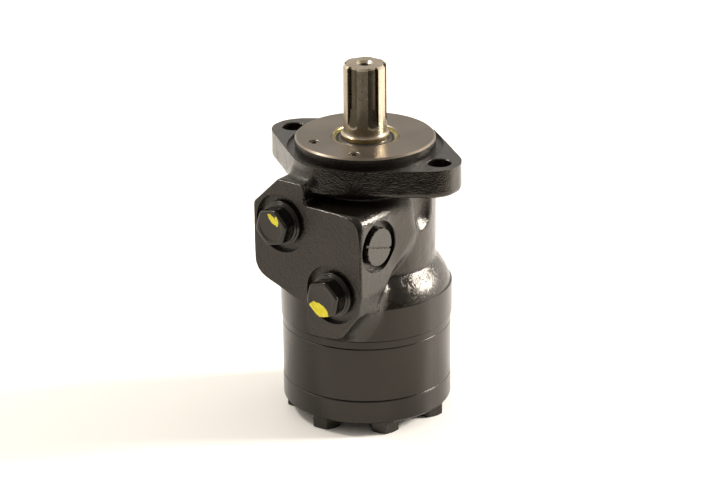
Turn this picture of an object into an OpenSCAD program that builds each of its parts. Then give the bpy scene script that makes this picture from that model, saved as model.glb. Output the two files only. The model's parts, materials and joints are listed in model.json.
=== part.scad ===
// Orbital hydraulic motor: a cast housing with an oval two-bolt flange, a spool valve in one
// piece with the splined output shaft, a roller gear set, and a cardan shaft between them.
// The origin is the centre of the flange's mounting face. +Z points out along the shaft, +X
// runs through the two flange bolt holes, and the main ports open towards -Y.

/* [Mounting flange] */
// Diameter of the centring pilot
pilot_d = 82.55; // [82.45:0.01:82.60]
// Height of the pilot above the mounting face
pilot_h = 6; // [5:0.1:6.5]
// Thickness of the flange
flange_t = 17; // [15:0.5:18]
// Overall length of the flange across its rounded ends
flange_len = 130; // [128:0.5:134]
// Distance from the shaft axis to each straight side of the flange
flange_side = 46.2; // [45.5:0.1:48]
// Distance between the two flange bolt holes
flange_bolt_span = 106.4; // [106.2:0.1:106.6]
// Diameter of the flange bolt holes
flange_bolt_d = 13.5; // [13:0.1:14.5]

/* [Housing] */
// Diameter of the neck under the flange
neck_d = 82.8; // [82:0.1:84]
// Diameter of the turned body below the shoulder
body_d = 102; // [101:0.5:103]
// Length of the housing below the mounting face
housing_len = 104.2; // [104:0.1:105]
// Diameter of the bore that the spool turns in
spool_bore_d = 40; // [39.99:0.01:40.02]

/* [Ports] */
// Distance from the shaft axis to the machined port face
port_face_y = 57.5; // [57:0.1:59]
// Sideways offset of each main port from the shaft axis
port_x = 18.2; // [18:0.1:18.6]
// Depth of port A below the mounting face
port_a_z = 35.4; // [35:0.1:36]
// Depth of port B below the mounting face
port_b_z = 71.4; // [71:0.1:72]
// Bore of the main port threads
port_bore_d = 18.6; // [18.6:0.1:19]
// Diameter of the recess round each main port
port_recess_d = 35.5; // [34:0.5:35.5]
// Distance from the shaft axis to the drain port's side face
side_face_x = 39.5; // [39:0.1:40]
// Diameter of the recess round the drain port
drain_recess_d = 31; // [30:0.5:31]

/* [Gear set] */
// Radius of the circle that the rollers sit on
roller_circle_r = 33; // [32.9:0.1:33.1]
// Diameter of a roller
roller_d = 14; // [13.8:0.1:14]
// Eccentricity of the rotor
eccentricity = 3; // [2.9:0.05:3]
// Width of the gear ring
ring_w = 33.2; // [32:0.1:34]
// Thickness of the spacer plate
spacer_t = 5; // [5:0.1:5.2]
// Thickness of the end cover
cover_t = 14.6; // [14:0.1:15]
// Outside diameter of the spacer plate, gear ring and end cover
stack_d = 100.6; // [100:0.1:101]

/* [Shaft] */
// Length of shaft that stands out beyond the mounting face
shaft_out = 50; // [46:0.5:55]
// Outside diameter of the spline
spline_d = 25.4; // [25.3:0.01:25.4]
// Root diameter of the spline
spline_root_d = 21.5; // [21.4:0.1:21.6]
// Width of a spline tooth
spline_tooth_w = 6.35; // [6.2:0.01:6.35]
// Diameter of the journal that the seal runs on
journal_d = 28.5; // [28.4:0.1:28.5]

/* [Fasteners] */
// Radius of the circle of cover bolts
cover_bolt_r = 40; // [39.9:0.1:40.1]
// Distance across the flats of a cover bolt head
cover_bolt_af = 16; // [15.7:0.1:16]

/* [Hidden] */

$fn = 96;

// Shared small amounts
over = 1;                       // how far a cutting shape runs past a face
run_gap = 0.03;                 // clearance between a turning piece and what it turns in
edge = 0.4;                     // small turned chamfer

// Heights, all on Z
pilot_chamfer = 1;
groove_r = flange_side - 0.4;
groove_depth = 1.5;
housing_z = -housing_len;
spacer_z = housing_z - spacer_t;
ring_z = spacer_z - ring_w;
cover_z = ring_z - cover_t;

// Shoulder between the neck and the turned body
shoulder_top_z = -68.2;
shoulder_low_z = -84;
shoulder_full_h = 20;

// Flange outline
flange_end_r = flange_len / 2;
flange_mid_r = 51;
flange_side_angle = 53.5;
flange_corner_r = 6;
neck_slot_r = 16.5;
neck_slot_z = -32.5;

// Port block outline, as [x, z, corner radius]
block_half_w = 38.5;
block_low_top = -20.3;
block_high_top = -8.2;
block_step_x = -1;
BLOCK = [
    [-block_half_w, -26, 4],
    [-20, block_high_top, 5],
    [block_step_x, block_high_top, 2.5],
    [block_step_x, block_low_top, 2],
    [side_face_x, block_low_top, 8],
    [side_face_x, -69, 12],
    [36.9, -81.6, 3],
    [24, -98.5, 8],
    [-0.6, -101.5, 5],
    [-0.6, -83, 3],
    [-block_half_w, -69.5, 10],
];
// Side view of the same block, as [y, z]
BLOCK_SIDE = [
    [-port_face_y, 0], [-port_face_y, housing_z], [-39.5, housing_z],
    [-39.5, -79.5], [-21.5, -59], [-10, -54], [-10, 0],
];

// Ports and passages
port_recess_h = 3;
port_bore_h = 16;
passage_x = 11.5;
passage_r = 5;
groove_w = 11;
groove_bore_r = 24;
drain_y = -40.5;
drain_z = -42;
drain_bore_r = 5.8;
drain_recess_h = 3.5;
drain_bore_h = 14;

// Spool timing
chamber_count = 7;
chamber_step = 360 / chamber_count;
first_bolt_angle = -90;
timing_z = -53.4;
timing_r = 2.5;
timing_circle_r = 29.5;
spool_r = spool_bore_d / 2 - run_gap;
spool_groove_r = 17.5;
spool_top_z = -16;
spool_low_z = housing_z + 0.3;
spool_slot_w = 4.2;
spool_slots = 6;

// Seal and thrust bearing stack
seal_bore_r = 20;
seal_floor_z = -4.5;
thrust_top_z = -10;
leak_groove_r = 22;
race_t = 2;
needle_r = 0.99;
needle_count = 24;
race_out_r = 19.7;
race_in_r = 14.6;
journal_r = journal_d / 2;
journal_bore_r = journal_r + 0.05;

// Gear set geometry
roller_r = roller_d / 2;
roller_gap = 0.03;
rotor_gap = 0.045;
rotor_points = 288;
ring_bore_r = 32.6;
side_gap = 0.03;
// Direction in which the rotor is offset at rest, half a chamber from the first bolt
offset_angle = first_bolt_angle + chamber_step / 2;
rotor_centre = eccentricity * [cos(offset_angle), sin(offset_angle)];

// Cardan shaft between the ball-shaped spline centres
cardan_top_z = -44;
cardan_low_z = -124;
cardan_len = norm([eccentricity, cardan_top_z - cardan_low_z]);
cardan_tilt = atan(eccentricity / (cardan_top_z - cardan_low_z));
cardan_r = 8.5;
cardan_teeth = 12;
cardan_tip_r = 13.1;
cardan_root_r = 10.9;
cardan_tooth_w = 3;
cardan_half_w = 5;
socket_tip_r = 13.6;
socket_root_r = 11.5;
socket_slot_w = 3.6;
shaft_bore_r = 14.2;

// Cover bolts and seal rings
bolt_r = 4.95;
tapped_r = 5;
bolt_hole_r = 5.25;
bolt_tip_z = -90;
tapped_top_z = -88;
bolt_head_h = 6.4;
bolt_chamfer = 30;               // angle of the chamfer on a head, from the horizontal
bolt_turns = [37, -7, -2, 20, 48, 11, 30];  // how far each head was tightened round
washer_r = 8.9;
washer_t = 1.6;
seal_ring_r = 47.3;
seal_section_r = 0.85;
seal_groove_h = 1.75;
seal_groove_w = 2.3;

// Check valves, as [x, y]
CHECK = [[-17, -27], [14.3, -29.6]];
check_bore_r = 3;
check_chamfer_r = 3.4;
check_seat_low = -9;
check_seat_top = -4;
check_seat_hole_r = 1.2;
check_ball_r = 1.75;
check_ball_z = check_seat_low - sqrt(pow(check_ball_r, 2) - pow(check_seat_hole_r, 2)) - 0.03;
check_ball_bore_r = 2.3;
check_spring_low = -18;
check_hole_r = 1.5;

// Plastic port plugs
plug_shank_r = port_bore_d / 2 - 0.1;
plug_flange_r = 13.4;
plug_flange_t = 1.5;
plug_seal_t = 1.4;
plug_head_h = 9.6;
plug_head_af = 20.6;
plug_head_r = 11.3;

function polar(r, a) = r * [cos(a), sin(a)];
function unit(v) = v / norm(v);
function heading(v) = atan2(v[1], v[0]);
function half_turn(a) = a > 180 ? a - 360 : a < -180 ? a + 360 : a;

// Points along an arc of radius r round c, from angle a0 to a1
function arc(c, r, a0, a1, n) = [for (i = [0:n]) c + polar(r, a0 + (a1 - a0) * i / n)];

// The corner at b of a path a-b-c, rounded to radius r
function corner(a, b, c, r, n = 6) =
    let (
        u = unit(a - b),
        v = unit(c - b),
        half = acos(u * v) / 2,
        centre = b + unit(u + v) * r / sin(half),
        start = heading(b + u * r / tan(half) - centre),
        sweep = half_turn(heading(b + v * r / tan(half) - centre) - start)
    )
    arc(centre, r, start, start + sweep, n);

// A closed outline with every corner rounded; each entry is [x, y, radius]
function rounded(points) =
    let (n = len(points), at = [for (p = points) [p[0], p[1]]])
    [for (i = [0:n - 1]) each corner(at[(i + n - 1) % n], at[i], at[(i + 1) % n], points[i][2])];

// One quarter of the flange outline, from +X round to +Y
function flange_quarter() =
    let (
        reach = flange_end_r - flange_corner_r,
        first = flange_side_angle - acos((flange_side - flange_corner_r) / reach),
        last = flange_side_angle + acos(flange_side / flange_mid_r)
    )
    concat(
        arc([0, 0], flange_end_r, 0, first, 4),
        arc(polar(reach, first), flange_corner_r, first + 5, flange_side_angle, 8),
        arc([0, 0], flange_mid_r, last, 90, 4)
    );

function mirrored(points, sx, sy) = [for (p = points) [sx * p[0], sy * p[1]]];
function backwards(points) = [for (i = [len(points) - 1:-1:0]) points[i]];

// Outline of the rotor round its own centre: the roller path drawn in by a roller's radius
function rotor_outline(draw_in) = [
    for (i = [0:rotor_points - 1])
        let (
            a = 360 * i / rotor_points,
            k = chamber_count,
            path = polar(roller_circle_r, a) - polar(eccentricity, k * a),
            along = roller_circle_r * [-sin(a), cos(a)]
                - eccentricity * k * [-sin(k * a), cos(k * a)],
            inward = unit([-along[1], along[0]])
        )
        path + draw_in * inward
];

// Places its children at every cover bolt
module each_bolt() {
    for (i = [0:chamber_count - 1])
        rotate(first_bolt_angle + i * chamber_step)
            translate([cover_bolt_r, 0, 0])
                rotate(bolt_turns[i])
                    children();
}

// A round drilling between two points
module drilling(from, to, r) {
    way = to - from;
    translate(from)
        rotate([0, acos(way[2] / norm(way)), heading(way)])
            cylinder(r = r, h = norm(way));
}

// A turned disc between two heights with a small chamfer on both outside edges
module turned_disc(r, low, high, chamfer = edge) {
    rotate_extrude()
        polygon([[0, low], [r - chamfer, low], [r, low + chamfer],
                 [r, high - chamfer], [r - chamfer, high], [0, high]]);
}

// A ring of rectangular section
module ring(r_in, r_out, low, high) {
    rotate_extrude()
        translate([r_in, low])
            square([r_out - r_in, high - low]);
}

// Straight-sided spline section with its teeth on a round root
module spline_section(root_r, tip_r, tooth_w, teeth) {
    circle(r = root_r);
    intersection() {
        circle(r = tip_r);
        for (i = [0:teeth - 1])
            rotate(i * 360 / teeth)
                translate([0, -tooth_w / 2])
                    square([tip_r + over, tooth_w]);
    }
}

// A coil spring with closed round wire, standing on its lower end
module coil(r, wire_r, turns, height) {
    sides = 8;
    steps = 14 * turns;
    rise = height - 2 * wire_r;
    points = [
        for (i = [0:steps])
            let (a = 360 * turns * i / steps, z = wire_r + rise * i / steps)
            for (j = [0:sides - 1])
                let (b = 360 * j / sides, reach = r + wire_r * cos(b))
                [reach * cos(a), reach * sin(a), z + wire_r * sin(b)]
    ];
    walls = [
        for (i = [0:steps - 1], j = [0:sides - 1])
            let (k = (j + 1) % sides)
            [i * sides + j, (i + 1) * sides + j, (i + 1) * sides + k, i * sides + k]
    ];
    ends = [
        [for (j = [0:sides - 1]) j],
        [for (j = [sides - 1:-1:0]) steps * sides + j],
    ];
    polyhedron(points, concat(walls, ends));
}

module flange_blank() {
    q = flange_quarter();
    outline = concat(q, backwards(mirrored(q, -1, 1)), mirrored(q, -1, -1),
                     backwards(mirrored(q, 1, -1)));
    translate([0, 0, -flange_t])
        linear_extrude(flange_t)
            polygon(outline);
}

module port_block() {
    intersection() {
        rotate([90, 0, 0])
            linear_extrude(port_face_y)
                polygon(rounded(BLOCK));
        rotate([90, 0, 90])
            translate([0, 0, -60])
                linear_extrude(120)
                    polygon(BLOCK_SIDE);
    }
}

// Neck, rounded shoulder and turned body as one turned outline
module barrel() {
    neck_r = neck_d / 2;
    body_r = body_d / 2;
    swell = body_r - neck_r;
    steps = 12;
    drop = shoulder_top_z - shoulder_low_z;
    shoulder = [
        for (i = [0:steps])
            let (down = drop * i / steps)
            [neck_r + swell * sin(90 * down / shoulder_full_h), shoulder_top_z - down]
    ];
    rotate_extrude()
        polygon(concat(
            [[0, -1], [neck_r, -1]],
            shoulder,
            [[body_r, shoulder_low_z - 0.5], [body_r, housing_z + edge],
             [body_r - edge, housing_z], [0, housing_z]]
        ));
}

module pilot_boss() {
    r = pilot_d / 2;
    rotate_extrude()
        polygon([[0, -groove_depth - over], [r, -groove_depth - over], [r, pilot_h - pilot_chamfer],
                 [r - pilot_chamfer, pilot_h], [0, pilot_h]]);
}

// Slot in the neck that makes room for a flange bolt and its spanner
module neck_slot(side) {
    translate([side * flange_bolt_span / 2, 0, 0]) {
        translate([0, 0, neck_slot_z])
            cylinder(r = neck_slot_r, h = -flange_t - neck_slot_z);
        translate([0, 0, neck_slot_z])
            sphere(r = neck_slot_r);
    }
}

// Recess, thread bore and inner passage of a main port on one side
module port_cut(side, depth) {
    translate([side * port_x, -port_face_y, -depth])
        rotate([90, 0, 0]) {
            translate([0, 0, -port_recess_h])
                cylinder(d = port_recess_d, h = port_recess_h + over);
            translate([0, 0, -port_recess_h - port_bore_h])
                cylinder(d = port_bore_d, h = port_bore_h + over);
        }
    translate([side * passage_x, -18, -depth])
        rotate([90, 0, 0])
            cylinder(r = passage_r, h = port_face_y - port_recess_h - port_bore_h - 17);
}

module drain_cut() {
    translate([side_face_x, drain_y, drain_z])
        rotate([0, -90, 0]) {
            translate([0, 0, -over])
                cylinder(d = drain_recess_d, h = drain_recess_h + over);
            cylinder(r = drain_bore_r, h = drain_recess_h + drain_bore_h);
            cylinder(r = timing_r, h = side_face_x - 7);
        }
    drilling([8, drain_y, drain_z], [3, -20, -13], timing_r);
}

// Spool bore with its annular grooves and the seven passages to the gear set
module valve_cut() {
    translate([0, 0, housing_z - over])
        cylinder(d = spool_bore_d, h = -housing_z + over + thrust_top_z);
    for (depth = [port_a_z, port_b_z])
        translate([0, 0, -depth - groove_w / 2])
            cylinder(r = groove_bore_r, h = groove_w);
    translate([0, 0, -16.5])
        cylinder(r = leak_groove_r, h = 5);
    for (i = [0:chamber_count - 1])
        rotate(first_bolt_angle + i * chamber_step) {
            translate([timing_circle_r, 0, housing_z - over])
                cylinder(r = timing_r, h = timing_z - housing_z + over);
            translate([0, 0, timing_z])
                rotate([0, 90, 0])
                    cylinder(r = timing_r, h = timing_circle_r);
        }
}

module seal_cut() {
    translate([0, 0, seal_floor_z])
        cylinder(r = seal_bore_r, h = pilot_h - seal_floor_z + over);
    translate([0, 0, thrust_top_z - over])
        cylinder(r = journal_bore_r, h = seal_floor_z - thrust_top_z + 2 * over);
}

module check_cut(i) {
    bottom = i == 0 ? -port_a_z + 2.4 : -port_b_z + 3.4;
    at = CHECK[i];
    translate([at[0], at[1], 0]) {
        translate([0, 0, pilot_h - 0.8])
            cylinder(r1 = check_bore_r, r2 = check_chamfer_r + 0.1, h = 1);
        translate([0, 0, check_seat_low])
            cylinder(r = check_bore_r, h = pilot_h - check_seat_low);
        translate([0, 0, check_spring_low])
            cylinder(r = check_ball_bore_r, h = check_seat_low - check_spring_low + over);
        translate([0, 0, bottom])
            cylinder(r = check_hole_r, h = check_spring_low - bottom + over);
    }
    drilling([at[0], at[1], -2.5], concat(0.62 * at, -13), check_seat_hole_r);
}

module housing() {
    color([0.09, 0.085, 0.08])
        difference() {
            union() {
                difference() {
                    union() {
                        flange_blank();
                        barrel();
                    }
                    translate([0, 0, -groove_depth])
                        cylinder(r = groove_r, h = groove_depth + over);
                    neck_slot(-1);
                    neck_slot(1);
                }
                pilot_boss();
                port_block();
            }
            for (side = [-1, 1])
                translate([side * flange_bolt_span / 2, 0, -flange_t - over])
                    cylinder(d = flange_bolt_d, h = flange_t + 2 * over);
            seal_cut();
            valve_cut();
            port_cut(-1, port_a_z);
            port_cut(1, port_b_z);
            drain_cut();
            check_cut(0);
            check_cut(1);
            each_bolt()
                translate([0, 0, housing_z - over])
                    cylinder(r = tapped_r, h = tapped_top_z - housing_z + over);
        }
}

// Groove for a seal ring, cut downwards from a face
module seal_groove(face_z, up) {
    low = up ? face_z : face_z - seal_groove_h;
    ring(seal_ring_r - seal_groove_w / 2, seal_ring_r + seal_groove_w / 2,
         up ? low - over : low, up ? low + seal_groove_h : low + seal_groove_h + over);
}

module seal_ring(centre_z) {
    color([0.05, 0.05, 0.05])
        rotate_extrude()
            translate([seal_ring_r, centre_z])
                circle(r = seal_section_r, $fn = 32);
}

module spacer_plate() {
    color([0.1, 0.095, 0.09])
        difference() {
            turned_disc(stack_d / 2, spacer_z, housing_z);
            translate([0, 0, spacer_z - over])
                cylinder(r = 15.5, h = spacer_t + 2 * over);
            each_bolt()
                translate([0, 0, spacer_z - over])
                    cylinder(r = bolt_hole_r, h = spacer_t + 2 * over);
            for (i = [0:chamber_count - 1])
                rotate(first_bolt_angle + i * chamber_step)
                    translate([timing_circle_r, 0, spacer_z - over])
                        cylinder(r = timing_r + 0.5, h = spacer_t + 2 * over);
            seal_groove(housing_z, false);
            seal_groove(spacer_z, true);
        }
}

module gear_ring() {
    color([0.1, 0.095, 0.09])
        difference() {
            turned_disc(stack_d / 2, ring_z, spacer_z);
            translate([0, 0, ring_z - over])
                cylinder(r = ring_bore_r, h = ring_w + 2 * over);
            each_bolt()
                translate([0, 0, ring_z - over])
                    cylinder(r = bolt_hole_r, h = ring_w + 2 * over);
            for (i = [0:chamber_count - 1])
                rotate(offset_angle + i * chamber_step)
                    translate([roller_circle_r, 0, ring_z - over])
                        cylinder(r = roller_r + roller_gap, h = ring_w + 2 * over);
        }
}

module end_cover() {
    color([0.1, 0.095, 0.09])
        difference() {
            turned_disc(stack_d / 2, cover_z, ring_z, 0.8);
            each_bolt()
                translate([0, 0, cover_z - over])
                    cylinder(r = bolt_hole_r, h = cover_t + 2 * over);
            seal_groove(ring_z, false);
        }
}

module cover_bolts() {
    under_head = cover_z - washer_t;
    color([0.12, 0.115, 0.11])
        each_bolt() {
            translate([0, 0, under_head])
                cylinder(r = bolt_r, h = bolt_tip_z - under_head);
            intersection() {
                translate([0, 0, under_head - bolt_head_h])
                    cylinder(d = cover_bolt_af / cos(30), h = bolt_head_h, $fn = 6);
                translate([0, 0, under_head - bolt_head_h])
                    cylinder(r1 = cover_bolt_af / 2 - 0.1,
                             r2 = cover_bolt_af / 2 + bolt_head_h / tan(bolt_chamfer),
                             h = bolt_head_h);
            }
        }
}

module bolt_washers() {
    color([0.14, 0.135, 0.13])
        each_bolt()
            difference() {
                turned_disc(washer_r, cover_z - washer_t, cover_z, 0.2);
                translate([0, 0, cover_z - washer_t - over])
                    cylinder(r = bolt_hole_r, h = washer_t + 2 * over);
            }
}

module shaft_seal_case() {
    r_out = seal_bore_r - 0.02;
    color([0.72, 0.6, 0.3])
        rotate_extrude()
            polygon([[15.8, seal_floor_z], [r_out, seal_floor_z], [r_out, 5.4], [19.7, 5.7],
                     [19.2, 5.7], [18.9, 5.2], [18.4, 5.2], [17.2, 4.5], [17.2, 4.1], [18.4, 4.1],
                     [18.4, seal_floor_z + 1], [15.8, seal_floor_z + 1]]);
}

module shaft_seal_lip() {
    low = seal_floor_z + 1;
    tip = journal_bore_r + 0.02;
    color([0.12, 0.1, 0.09])
        rotate_extrude()
            polygon([[15.9, low], [18.35, low], [18.35, low + 1.1], [16.5, low + 1.9],
                     [16.3, 2], [15.1, 2.3], [tip, 1], [15, -0.2], [15.5, -1.6]]);
}

module seal_garter_spring() {
    color([0.7, 0.7, 0.7])
        rotate_extrude()
            translate([16.95, 1.2])
                circle(r = 0.6, $fn = 24);
}

module dust_seal() {
    tip = journal_bore_r + 0.02;
    color([0.08, 0.07, 0.065])
        rotate_extrude()
            polygon([[15.4, 2.6], [18.38, 2.6], [18.38, 3.9], [17.1, 3.9], [16.6, 3.6],
                     [15.3, 4.8], [tip, 4.9], [14.7, 4]]);
}

module thrust_race_fixed() {
    color([0.75, 0.75, 0.75])
        ring(race_in_r, race_out_r, thrust_top_z - race_t, thrust_top_z);
}

module thrust_race_turning() {
    color([0.75, 0.75, 0.75])
        ring(journal_r, race_out_r, spool_top_z, spool_top_z + race_t);
}

// Needle slots or needles, laid out round the cage
module each_needle() {
    for (i = [0:needle_count - 1])
        rotate(i * 360 / needle_count)
            translate([15.5, 0, thrust_top_z - race_t - 1])
                rotate([0, 90, 0])
                    children();
}

module thrust_cage() {
    mid = thrust_top_z - race_t - 1;
    color([0.7, 0.62, 0.4])
        difference() {
            ring(race_in_r + 0.1, race_out_r - 0.1, mid - 0.6, mid + 0.6);
            each_needle()
                translate([0, 0, -0.1])
                    cylinder(r = needle_r + 0.04, h = 3.6);
        }
}

module thrust_needles() {
    color([0.8, 0.8, 0.8])
        each_needle()
            cylinder(r = needle_r, h = 3.4);
}

// The groove between two spline teeth, as a wedge that widens outwards
module spline_gap() {
    half = spline_tooth_w / 2;
    root = spline_root_d / 2;
    out = spline_d / 2 + over;
    inner = polar(sqrt(root * root - half * half), -30) + polar(half, 60);
    outer = polar(sqrt(out * out - half * half), -30) + polar(half, 60);
    difference() {
        polygon([inner * 0.98, outer, [outer[0], -outer[1]], [inner[0], -inner[1]] * 0.98]);
        circle(r = root);
    }
}

module spline_cut() {
    full_depth_z = 24.5;
    run_out_r = 38;
    root = spline_root_d / 2;
    for (i = [0:5])
        rotate(30 + i * 60) {
            translate([0, 0, full_depth_z])
                linear_extrude(shaft_out - full_depth_z + over)
                    spline_gap();
            intersection() {
                translate([0, 0, full_depth_z - 14])
                    linear_extrude(14)
                        spline_gap();
                translate([root + run_out_r, 0, full_depth_z])
                    rotate([90, 0, 0])
                        cylinder(r = run_out_r, h = 10, center = true, $fn = 200);
            }
        }
}

// Turned outside of the shaft and spool
module shaft_blank() {
    r = spline_d / 2;
    low = spool_groove_r;
    flare_top = 10;
    flare_h = 2.6;
    rotate_extrude()
        polygon([
            [0, shaft_out], [r - 1.2, shaft_out], [r, shaft_out - 1.2],
            for (a = [0:22.5:90])
                [journal_r - (journal_r - r) * cos(a), flare_top - flare_h * sin(a)],
            [journal_r, spool_top_z], [spool_r, spool_top_z],
            [spool_r, -port_a_z + groove_w / 2], [low, -port_a_z + groove_w / 2],
            [low, -port_a_z - groove_w / 2], [spool_r, -port_a_z - groove_w / 2],
            [spool_r, -port_b_z + groove_w / 2], [low, -port_b_z + groove_w / 2],
            [low, -port_b_z - groove_w / 2], [spool_r, -port_b_z - groove_w / 2],
            [spool_r, spool_low_z], [0, spool_low_z],
        ]);
}

// Axial slots that join the spool's two grooves to the timing ports in turn
module spool_slots_cut() {
    slot_h = port_b_z - groove_w / 2 - 49;
    for (i = [0:spool_slots - 1]) {
        rotate(i * 60)
            translate([spool_groove_r, -spool_slot_w / 2, -port_a_z - groove_w / 2 - slot_h])
                cube([4, spool_slot_w, slot_h + over]);
        rotate(30 + i * 60)
            translate([spool_groove_r, -spool_slot_w / 2, -port_b_z + groove_w / 2 - over])
                cube([4, spool_slot_w, slot_h + over]);
    }
}

// Centre hole with a protected mouth and a tapped length
module shaft_end_cut() {
    translate([0, 0, shaft_out - 24])
        cylinder(r = 3.4, h = 24);
    translate([0, 0, shaft_out - 3.3])
        cylinder(r = 4.2, h = 3.3 + over);
    translate([0, 0, shaft_out - 3.3])
        cylinder(r1 = 4.2, r2 = 6.1, h = 3.3);
}

module output_shaft() {
    socket_top = cardan_top_z + 8;
    color([0.62, 0.58, 0.52])
        difference() {
            shaft_blank();
            spline_cut();
            shaft_end_cut();
            spool_slots_cut();
            translate([0, 0, socket_top - 18])
                linear_extrude(18)
                    spline_section(socket_root_r, socket_tip_r, socket_slot_w, cardan_teeth);
            translate([0, 0, spool_low_z - over])
                cylinder(r = shaft_bore_r, h = socket_top - 18 - spool_low_z + over);
        }
}

// One crowned spline end of the cardan shaft, centred on its own middle
module cardan_end() {
    intersection() {
        translate([0, 0, -cardan_half_w])
            linear_extrude(2 * cardan_half_w)
                spline_section(cardan_root_r, cardan_tip_r, cardan_tooth_w, cardan_teeth);
        sphere(r = cardan_tip_r);
    }
}

module cardan_shaft() {
    tail = cardan_half_w + 1;
    color([0.45, 0.44, 0.43])
        translate([0, 0, cardan_top_z])
            rotate([0, 0, offset_angle])
                rotate([0, -cardan_tilt, 0])
                    rotate([0, 0, -offset_angle]) {
                        cardan_end();
                        translate([0, 0, -cardan_len])
                            cardan_end();
                        translate([0, 0, -cardan_len - tail])
                            cylinder(r = cardan_r, h = cardan_len + 2 * tail);
                    }
}

module rotor() {
    color([0.5, 0.5, 0.5])
        translate([rotor_centre[0], rotor_centre[1], ring_z + side_gap])
            difference() {
                linear_extrude(ring_w - 2 * side_gap)
                    rotate(offset_angle)
                        polygon(rotor_outline(roller_r + rotor_gap));
                translate([0, 0, -over])
                    linear_extrude(ring_w + 2 * over)
                        spline_section(socket_root_r, socket_tip_r, socket_slot_w, cardan_teeth);
            }
}

module cardan_stop_disc() {
    color([0.5, 0.5, 0.5])
        translate([rotor_centre[0], rotor_centre[1], 0])
            turned_disc(socket_root_r - 0.3, ring_z + side_gap, cardan_low_z - 7);
}

// The i-th roller of the gear set, counted from one
module roller(i) {
    color([0.66, 0.66, 0.68])
        rotate(offset_angle + (i - 1) * chamber_step)
            translate([roller_circle_r, 0, 0])
                turned_disc(roller_r, ring_z + side_gap, spacer_z - side_gap, 0.5);
}

module check_valve_plugs() {
    color([0.2, 0.19, 0.18])
        for (at = CHECK)
            translate([at[0], at[1], 0])
                difference() {
                    turned_disc(check_bore_r - 0.02, -1, pilot_h - 0.7, 0.3);
                    translate([0, 0, pilot_h - 3.7])
                        cylinder(d = 3.2 / cos(30), h = 3 + over, $fn = 6);
                }
}

module check_valve_seats() {
    color([0.7, 0.7, 0.7])
        for (at = CHECK)
            translate([at[0], at[1], 0])
                ring(check_seat_hole_r, check_bore_r - 0.02, check_seat_low, check_seat_top);
}

module check_ball(i) {
    color([0.8, 0.8, 0.8])
        translate([CHECK[i][0], CHECK[i][1], check_ball_z])
            sphere(r = check_ball_r);
}

module check_spring(i) {
    top = check_ball_z - check_ball_r - 0.02;
    color([0.75, 0.75, 0.75])
        translate([CHECK[i][0], CHECK[i][1], check_spring_low])
            coil(1.6, 0.25, 5, top - check_spring_low);
}

// A plastic plug with a sealing flange and a hexagonal head, standing on the recess floor
module port_plug(side, depth, turn) {
    flange_low = plug_seal_t;
    head_low = flange_low + plug_flange_t;
    color([0.06, 0.06, 0.06])
        translate([side * port_x, -port_face_y + port_recess_h, -depth])
            rotate([90, 0, 0]) {
                translate([0, 0, -12])
                    turned_disc(plug_shank_r, 0, 12 + head_low, 0.8);
                turned_disc(plug_flange_r, flange_low, head_low, 0.3);
                translate([0, 0, head_low])
                    intersection() {
                        rotate(turn)
                            cylinder(d = plug_head_af / cos(30), h = plug_head_h, $fn = 6);
                        turned_disc(plug_head_r, -over, plug_head_h, 0.9);
                    }
            }
}

module port_seal_rings() {
    color([0.04, 0.04, 0.04])
        for (place = [[-port_x, port_a_z], [port_x, port_b_z]])
            translate([place[0], -port_face_y + port_recess_h, -place[1]])
                rotate([90, 0, 0])
                    ring(port_bore_d / 2 + 0.3, plug_flange_r - 1.2, 0, plug_seal_t);
}

module drain_plug() {
    disc_r = 11.4;
    notches = 16;
    slot_turn = 18;
    disc_low = 1.2;
    disc_high = drain_recess_h + 1;
    color([0.06, 0.06, 0.06])
        translate([side_face_x - drain_recess_h, drain_y, drain_z])
            rotate([0, 90, 0])
                difference() {
                    union() {
                        translate([0, 0, -9])
                            turned_disc(drain_bore_r - 0.1, 0, 9 + disc_high - 0.1, 0.6);
                        turned_disc(disc_r, disc_low, disc_high, 0.4);
                    }
                    rotate(-slot_turn)
                        translate([-0.7, -disc_r - over, disc_high - 1.3])
                            cube([1.4, 2 * disc_r + 2 * over, 1.3 + over]);
                    for (i = [0:notches - 1])
                        rotate((i + 0.5) * 360 / notches)
                            translate([disc_r + 0.25, 0, disc_low - over])
                                cylinder(r = 0.8, h = disc_high - disc_low + 2 * over);
                }
}

module drain_seal_ring() {
    color([0.04, 0.04, 0.04])
        translate([side_face_x - drain_recess_h, drain_y, drain_z])
            rotate([0, 90, 0])
                ring(drain_bore_r + 0.3, 9.6, 0, 1.2);
}

housing();
spacer_plate();
gear_ring();
end_cover();
cover_bolts();
bolt_washers();
seal_ring(housing_z - seal_section_r);  // housing_seal_ring
seal_ring(spacer_z + seal_section_r);  // spacer_seal_ring
seal_ring(ring_z - seal_section_r);  // cover_seal_ring
shaft_seal_case();
shaft_seal_lip();
seal_garter_spring();
dust_seal();
thrust_race_fixed();
thrust_cage();
thrust_needles();
thrust_race_turning();
output_shaft();
cardan_shaft();
rotor();
cardan_stop_disc();
roller(1);  // roller_1
roller(2);  // roller_2
roller(3);  // roller_3
roller(4);  // roller_4
roller(5);  // roller_5
roller(6);  // roller_6
roller(7);  // roller_7
check_valve_plugs();
check_valve_seats();
check_ball(0);  // check_ball_a
check_ball(1);  // check_ball_b
check_spring(0);  // check_spring_a
check_spring(1);  // check_spring_b
port_plug(-1, port_a_z, 14);  // port_plug_a
port_plug(1, port_b_z, 18);  // port_plug_b
drain_plug();
port_seal_rings();
drain_seal_ring();
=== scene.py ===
"""Looks of the orbital hydraulic motor: cast skin, finishes, studio and camera.

Dimensions are in millimetres and are turned into metres with the factor MM where Blender gets
them. The room, the lights, the table and the camera are in metres.
"""

import json
import math

import bmesh
import bpy
import numpy as np
import openvdb
from mathutils import Matrix, Vector


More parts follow.
